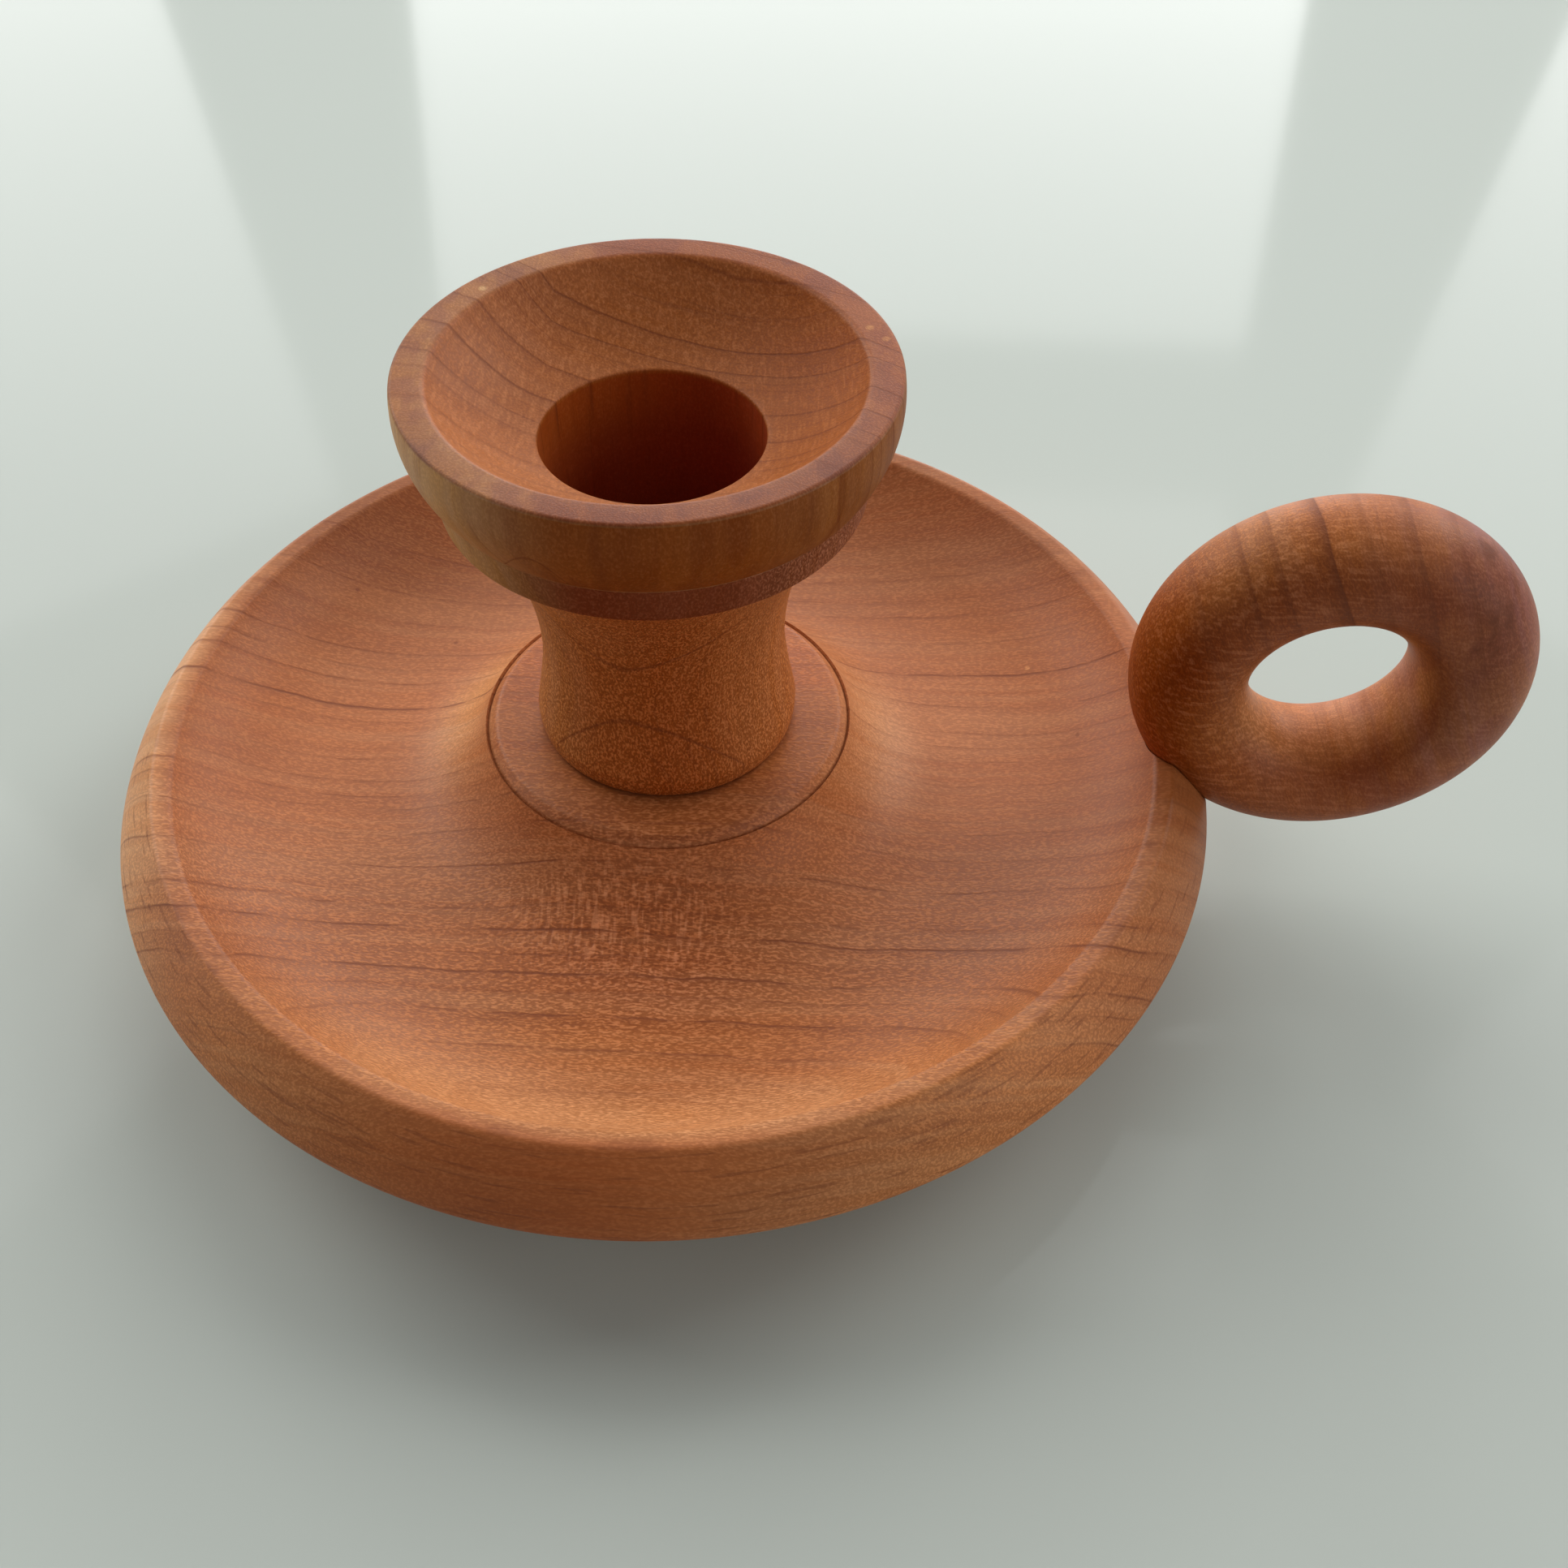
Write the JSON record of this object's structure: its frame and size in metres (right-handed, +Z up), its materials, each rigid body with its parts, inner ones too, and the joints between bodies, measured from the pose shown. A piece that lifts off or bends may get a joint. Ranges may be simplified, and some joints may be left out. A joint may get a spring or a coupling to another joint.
{
  "type": "chamber candlestick",
  "caption": "Turned wooden chamber candlestick: a round dish that catches wax, a short stem with a wide cup and candle bore, and a ring handle on the rim.",
  "frame": {"origin": "centre of the foot's flat face, on the table and on the axis of the dish and the bore", "axes": "+Z up along the candle's axis, +X towards the ring handle, whose ring lies in the XZ plane"},
  "size_m": [0.1625, 0.1298, 0.0724],
  "materials": {
    "dish_wood": "satin",
    "stem_wood": "satin",
    "ring_wood": "satin",
    "dowel_wood": "raw"
  },
  "bodies": {
    "root": {"dish": "dish_wood", "candle_stem": "stem_wood", "ring_handle": "ring_wood", "ring_dowel": "dowel_wood"}
  },
  "joints": []
}
